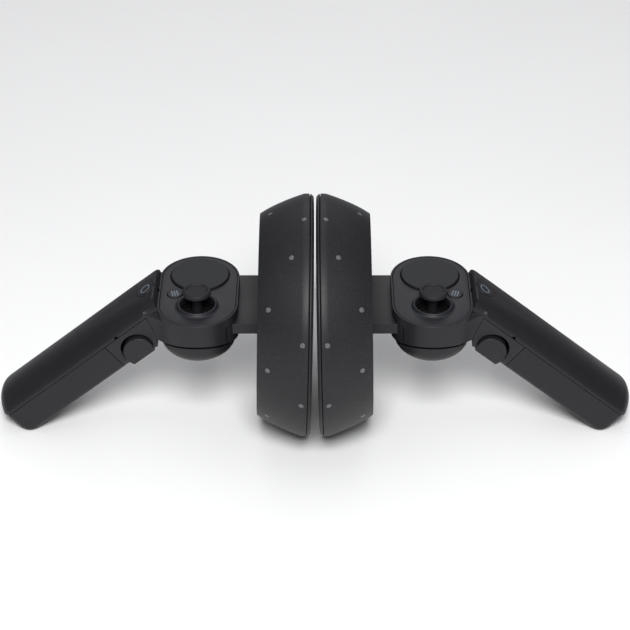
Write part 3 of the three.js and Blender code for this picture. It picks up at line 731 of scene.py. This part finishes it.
def underEdge(lift):
    half = headSize["length"] / 2 + 3.2
    middle = headSize["middle"]
    outline = [(-half, -60), (half, -60)]
    for k in range(33):
        y = half - 2 * half * k / 32
        rise = (headSize["edgeHigh"] - headSize["edgeLow"]) * (y / 31) ** 2
        outline.append((y, headSize["edgeLow"] + rise + lift))
    return prism(outline, middle - 40, middle + 40, ground, "x")


def overCrown(inset):
    far = cutSize["far"]
    tilt = math.radians(homeSize["tilt"])
    line = homeSize["z"] - inset / math.cos(tilt)
    size = handleSize
    crest = homeSize["x"] + size["flatEnd"]
    over = bend((crest, line + size["flatEnd"] * math.tan(tilt)), (size["crestX"], size["crestZ"] - inset),
                (size["rimX"], size["rimZ"] - inset), 10)
    outline = over + [(far, size["rimZ"] - inset), (far, far), (homeSize["x"] - far, far),
                      (homeSize["x"] - far, line - far * math.tan(tilt))]
    return prism(outline, -cutSize["side"], cutSize["side"], ground, "y")


def beyondSeam(clearance):
    size, far = seamSize, cutSize["far"]
    topX, lowX = size["topX"] - clearance, size["lowX"] - clearance
    back = topX - (lowX - topX)
    outline = [(back, size["startZ"]), (topX, size["topZ"]), (lowX, size["lowZ"]), (lowX, size["footZ"]),
               (0, size["footZ"]), (0, far), (back, far)]
    return prism(outline, -cutSize["side"], cutSize["side"], ground, "y")


webSize = {"low": -6, "top": 12.6, "round": 2.4, "start": 26, "pull": 21.2, "end": 15, "stop": 12,
           "spread": 7.85, "root": 7, "leanX": 0.45, "leanY": 0.9}


# The webs that round the corners between the handle's sides and the head.
def cornerWebs():
    size = webSize
    half, middle, soft = handleSize["half"], headSize["middle"], size["round"]
    webs = []
    for side in (-1, 1):
        wide, root = side * (half + size["spread"]), side * (half - size["root"])
        curve = bend((middle - size["start"], side * half), (middle - size["pull"], side * half),
                     (middle - size["end"], wide), 20)
        outline = ([(middle - size["start"], root)] + curve
                   + [(middle - size["stop"], wide), (middle - size["stop"], root)])
        levels = [(0, size["low"]), (0, size["top"] - soft)]
        for k in range(1, 7):
            angle = math.radians(15 * k)
            levels.append((soft * (1 - math.cos(angle)), size["top"] - soft * (1 - math.sin(angle))))
        webs.append(lofted([[(x + size["leanX"] * inward, y - size["leanY"] * side * inward, z)
                             for x, y in outline] for inward, z in levels], ground))
    return weld(*webs)


innerWidth = headSize["width"] + 2 * headSize["gap"]
innerLength = headSize["length"] + 2 * headSize["gap"]
outerWidth = innerWidth + 2 * headSize["wall"]
outerLength = innerLength + 2 * headSize["wall"]
neckSize = {"half": 21.3, "top": 9.1, "thick": 5.5, "bendX": -26, "strutX": -12, "strutHalf": 13,
            "collarX": -41.6, "footX": -17.5, "footReach": 3, "footTop": -44.2, "tongueX": -42.9,
            "tongueHalf": 9, "tongueReach": 2.6, "neckHole": 1.2, "footHole": 1.3}


def headStadium(inner, low, high):
    width, length = (innerWidth, innerLength) if inner else (outerWidth, outerLength)
    return prism(stadium(width, length, 40, headSize["middle"]), low, high, ground)


def neckRegion(clearance):
    side = outerLength / 2 + 1
    return block((neckSize["collarX"] - clearance, 5), (-side, side),
                 (-30, neckSize["top"] + clearance), ground)


# What lies under the parting face, as far as the slanting seam behind the head.
def underParting(level):
    past, under = cutSize["past"], cutSize["under"]
    part = block((-past, handleSize["run"] + past), (-under, under), (-under, level), handleFrame)
    return carve(part, beyondSeam(0))


def upperShell():
    size = handleSize
    covers = underParting(size["gap"] / 2)
    below = underParting(size["gap"] / 2)
    hollow = carve(wholeHandle(size["wall"]), overCrown(size["wall"]))
    head = soften(headStadium(False, headSize["foot"], headSize["face"]), 0.3, 3)
    deckTop = headSize["face"] - headSize["plate"] - headSize["gap"]
    deckLow = deckTop - headSize["deck"]
    outline = stadium(innerWidth + 0.4, innerLength + 0.4, 40, headSize["middle"])
    deck = prism(outline, deckLow, deckTop, ground)
    shell = carve(wholeHandle(0), covers, overCrown(0))
    weld(shell, head, carve(cornerWebs(), below))
    carve(shell, hollow, headStadium(True, headSize["open"], headSize["face"] + 1), underEdge(0))
    weld(shell, deck)
    middle = headSize["middle"]
    carve(shell, rod(padSize["radius"] - 1.7, 0, headSize["face"], ground @ at(middle, padSize["y"]), 48),
          rod(stickSize["hole"] + 0.75, 0, headSize["face"], ground @ at(middle, stickSize["y"]), 48),
          rod(menuSize["radius"] + 0.4, 0, headSize["face"],
              ground @ at(middle + menuSize["x"], menuSize["y"]), 32),
          rod(homeSize["radius"] + headSize["gap"], -6, 6, homeFrame, 64),
          neckRegion(headSize["gap"]))
    return shell


gripSize = {"x": 78.9, "z": -11.8, "radius": 7.6, "proud": 1.8, "drop": 0.6, "pocket": 0.7, "back": 12}


def frontPanel():
    size = handleSize
    panel = bellyPart(0, size["seam"] + size["gap"] / 2, size["run"])
    carve(panel, bellyPart(size["wall"], size["seam"] - 10, size["run"] + 10))
    soften(panel, 0.2, 2)
    webs = common(cornerWebs(), underParting(-size["gap"] / 2))
    past, under = cutSize["past"], cutSize["under"]
    belly = block((-past, size["run"] + past), (-under, under), (-cutSize["side"], 1 - size["depth"]),
                  handleFrame)
    weld(panel, carve(webs, belly))
    sideways = turn(90, "X")
    pocket = rod(gripSize["radius"] + gripSize["pocket"] + size["gap"], 0, 30,
                 handleFrame @ at(gripSize["x"], 0, gripSize["z"] + gripSize["pocket"]) @ sideways, 72)
    outline = stadium(outerWidth + 2 * size["gap"], outerLength, 40, headSize["middle"])
    around = prism(outline, headSize["open"], 40, ground)
    return carve(panel, pocket, beyondSeam(size["gap"]), around)


def batteryDoor():
    size = handleSize
    door = bellyPart(0, size["tailStep"], size["seam"] - size["gap"] / 2)
    carve(door, bellyPart(size["wall"], size["tailStep"] + size["wall"], size["seam"] + 10))
    return soften(door, 0.2, 2)


def gripPad():
    size = gripSize
    drop = handleSize["depth"] + size["drop"] + size["z"]
    start = math.degrees(math.asin(drop / size["radius"]))
    outline = eased(arc((0, 0), size["radius"], -start, 180 + start, 60), 0.8, 4)
    face = -handleSize["half"] - size["proud"]
    pad = prism(outline, face, -size["back"], handleFrame @ at(size["x"], 0, size["z"]), "y")
    return soften(pad, 0.7, 4)


bothSides(upperShell(), "grip_shell", shellSkin, "body", ["upper_shell"])
bothSides(frontPanel(), "front_panel", shellSkin, "body", ["lower_shell"])
bothSides(batteryDoor(), "battery_door", shellSkin, "cover", ["battery_cover"])
bothSides(gripPad(), "grip_pad", shellSkin, "grip", ["grip_button"])
print("shells ready")

# Trigger and neck

triggerSize = {"floor": 11.2, "foot": 9, "inset": 12, "wall": 1.6, "lap": 1.5, "slide": 0.4,
               "groove": 2.6, "grooveLow": 1.5,
               "pinX": -14.75, "pinZ": 1, "earY": 7.5, "earThick": 3, "brim": 12, "sleeveLow": -9,
               "pinHole": 1.55}


def bowl(thinner):
    size = triggerSize
    width, length = innerWidth - 2 * size["slide"] - thinner, innerLength - 2 * size["slide"] - thinner
    floor = -size["floor"] + thinner / 2
    inset = size["inset"] - thinner / 2
    rings = [[(x, y, size["brim"]) for x, y in stadium(width, length, 40, headSize["middle"])]]
    for k in range(11):
        angle = math.radians(90 * k / 10)
        shrink = 2 * inset * (1 - math.cos(angle))
        z = floor + size["foot"] * (1 - math.sin(angle))
        rings.append([(x, y, z) for x, y in stadium(width - shrink, length - shrink, 40, headSize["middle"])])
    return lofted(rings, ground)


def triggerBowl():
    size = triggerSize
    body = common(carve(bowl(0), bowl(2 * size["wall"])), underEdge(size["lap"]))
    middle, low, high = headSize["middle"], size["sleeveLow"], size["brim"] + 1
    sleeve = prism(stadium(outerWidth, outerLength, 40, middle), low, high, ground)
    inside = stadium(innerWidth - size["groove"], innerLength - size["groove"], 40, middle)
    carve(sleeve, prism(inside, low - 1, high + 1, ground), underEdge(-size["grooveLow"]))
    carve(body, sleeve)
    back = headSize["middle"] - innerWidth / 2
    pinX = headSize["middle"] + size["pinX"]
    half = size["earThick"] / 2
    for side in (-1, 1):
        y = side * size["earY"]
        ear = block((back + 1.4, pinX + 3), (y - half, y + half),
                    (-size["floor"] + 4, size["pinZ"] + 2.8), ground)
        weld(body, common(ear, bowl(0)))
        outer = sorted((y + side * half, side * 12.7))
        carve(body, block((back - 1, pinX + 3), outer, (size["pinZ"] - 3, size["pinZ"] + 9), ground))
    return carve(body, rod(size["pinHole"], -20, 20, ground @ at(pinX, 0, size["pinZ"]) @ turn(90, "X"), 32))


def neckArm():
    size = neckSize
    low = size["top"] - size["thick"]
    half = size["thick"] / 2
    drop = size["strutX"] - size["bendX"]
    foot = -ringSize["radius"]
    start = headSize["middle"] + outerWidth / 2 - 4
    front, back = size["strutX"] + half, size["strutX"] - half
    side = ([(start, size["top"])]
            + bend((size["bendX"], size["top"]), (front, size["top"]), (front, size["top"] - drop - half), 16)
            + [(front, foot), (back, foot)]
            + bend((back, low - drop + half), (back, low), (size["bendX"], low), 16) + [(start, low)])
    flare = bend((-size["half"], low - 2), (-size["strutHalf"], -drop), (-size["strutHalf"], -2 * drop), 16)
    view = ([(-size["half"], size["top"] + 1)] + flare + [(-size["strutHalf"], foot)]
            + [(size["strutHalf"], foot)] + [(-y, z) for y, z in flare[::-1]]
            + [(size["half"], size["top"] + 1)])
    arm = common(prism(side, -size["half"], size["half"], ground, "y"), prism(view, -60, 0, ground, "x"))
    soften(arm, 0.7, 3, 40)
    flange = block((size["footX"] - size["footReach"], front), (-size["strutHalf"], size["strutHalf"]),
                   (foot, size["footTop"]), ground)
    tongue = block((size["tongueX"] - size["tongueReach"], headSize["middle"] + outerWidth / 2),
                   (-size["tongueHalf"], size["tongueHalf"]), (low + 1, size["top"]), ground)
    wall = carve(headStadium(False, headSize["foot"], size["top"]),
                 headStadium(True, headSize["open"], headSize["face"]), underEdge(0))
    common(wall, neckRegion(0))
    hoop = turned([(ringSize["small"] - ringSize["band"] - 1.1, -ringSize["width"] - 2),
                   (ringSize["radius"] - ringSize["band"] - 0.3, 0),
                   (ringSize["radius"] + 20, 0), (ringSize["radius"] + 20, -ringSize["width"] - 2)],
                  sweep, 160)
    carve(arm, headStadium(True, headSize["open"], headSize["face"]))
    weld(arm, wall, tongue, flange)
    carve(arm, hoop, rod(size["neckHole"], 0, headSize["face"], ground @ at(size["tongueX"]), 24),
          rod(size["footHole"], foot - 5, size["footTop"] + 1, ground @ at(size["footX"]), 24))
    return arm


bothSides(triggerBowl(), "trigger_bowl", shellSkin, "trigger", ["trigger"])
bothSides(neckArm(), "neck", shellSkin, "body", ["neck_arm"])
print("trigger and neck ready")

# Inner parts keep their frame shapes and get real finishes

innerFinish = {
    "trigger_pin": steelSkin, "trigger_spring": steelSkin, "neck_screw": steelSkin, "ring_screw": steelSkin,
    "battery_contact": steelSkin, "vibration_motor": steelSkin, "touch_sensor": boardSkin,
    "led_strip": boardSkin, "main_board": boardSkin, "battery_near": cellSkin, "battery_far": cellSkin,
}
for name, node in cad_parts.items():
    skin = innerFinish.get(name.split("_", 1)[1], innerSkin)
    for slot in node.material_slots:
        slot.material = skin
    if not node.material_slots:
        node.data.materials.append(skin)
print("inner parts ready")
